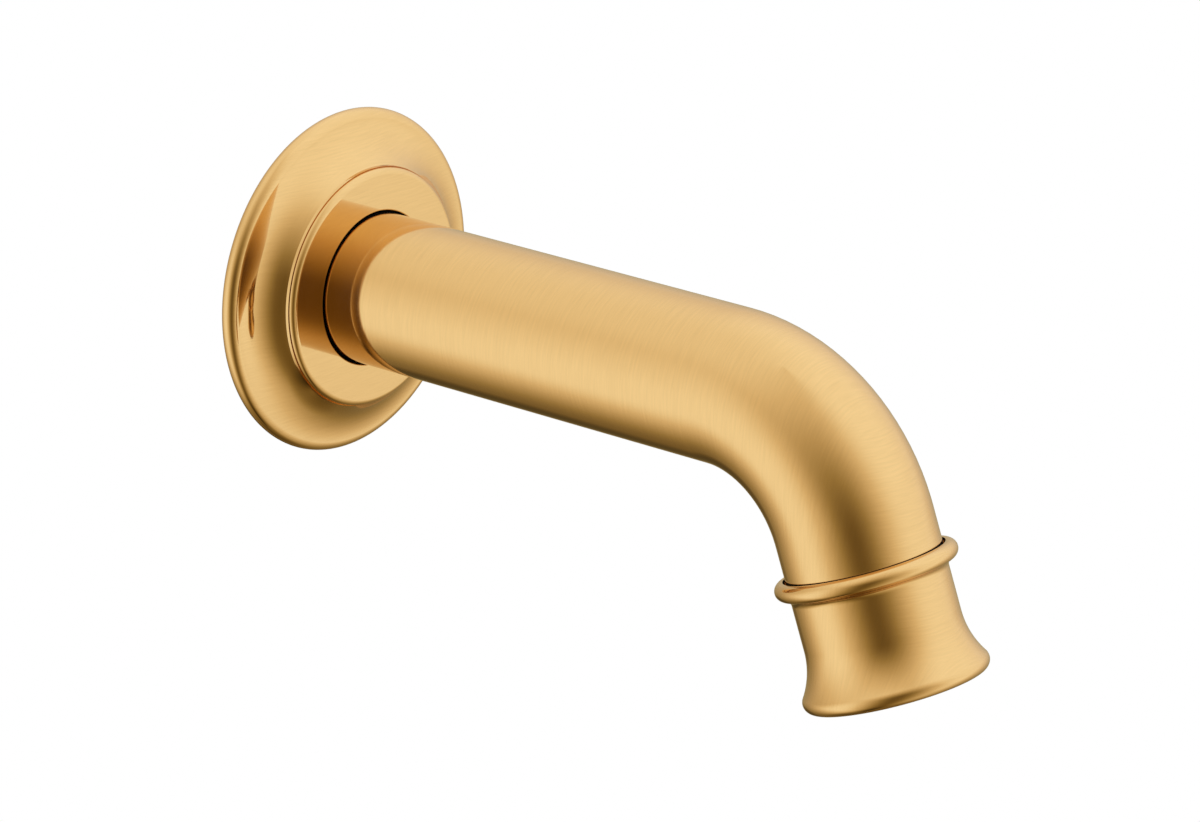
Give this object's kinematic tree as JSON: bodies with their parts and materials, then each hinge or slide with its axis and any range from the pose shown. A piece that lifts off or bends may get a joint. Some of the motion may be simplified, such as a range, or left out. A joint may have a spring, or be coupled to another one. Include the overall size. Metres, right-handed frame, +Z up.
{
  "type": "wall spout",
  "caption": "Wall-mounted water spout: stepped round flange, straight tube that bends down, and a beaded, flared outlet bell with a recessed honeycomb aerator.",
  "frame": {"origin": "centre of the threaded inlet in the wall plane, behind the middle of the flange", "axes": "+Y into the wall along the inlet axis, the spout reaches out along -Y and turns down, +Z up"},
  "size_m": [0.0732, 0.1654, 0.0964],
  "materials": {
    "brushed_gold": "finely brushed, satin gold",
    "plain_brass": "plain turned",
    "black_rubber": "matt",
    "wall_foam": "fine closed-cell foam",
    "cage_plastic": "satin moulded",
    "insert_plastic": "satin moulded",
    "screen_steel": "fine mesh"
  },
  "bodies": {
    "root": {"wall_flange": "brushed_gold", "spout_tube": "brushed_gold", "outlet_bell": "brushed_gold", "inlet_bush": "plain_brass", "flange_o_ring": "black_rubber", "wall_seal": "wall_foam", "aerator_washer": "black_rubber", "aerator_cage": "cage_plastic", "inlet_strainer": "insert_plastic", "flow_regulator": "insert_plastic", "flow_ring": "black_rubber", "jet_plate": "insert_plastic", "mixing_screens": "screen_steel", "stream_straightener": "insert_plastic"}
  },
  "joints": []
}
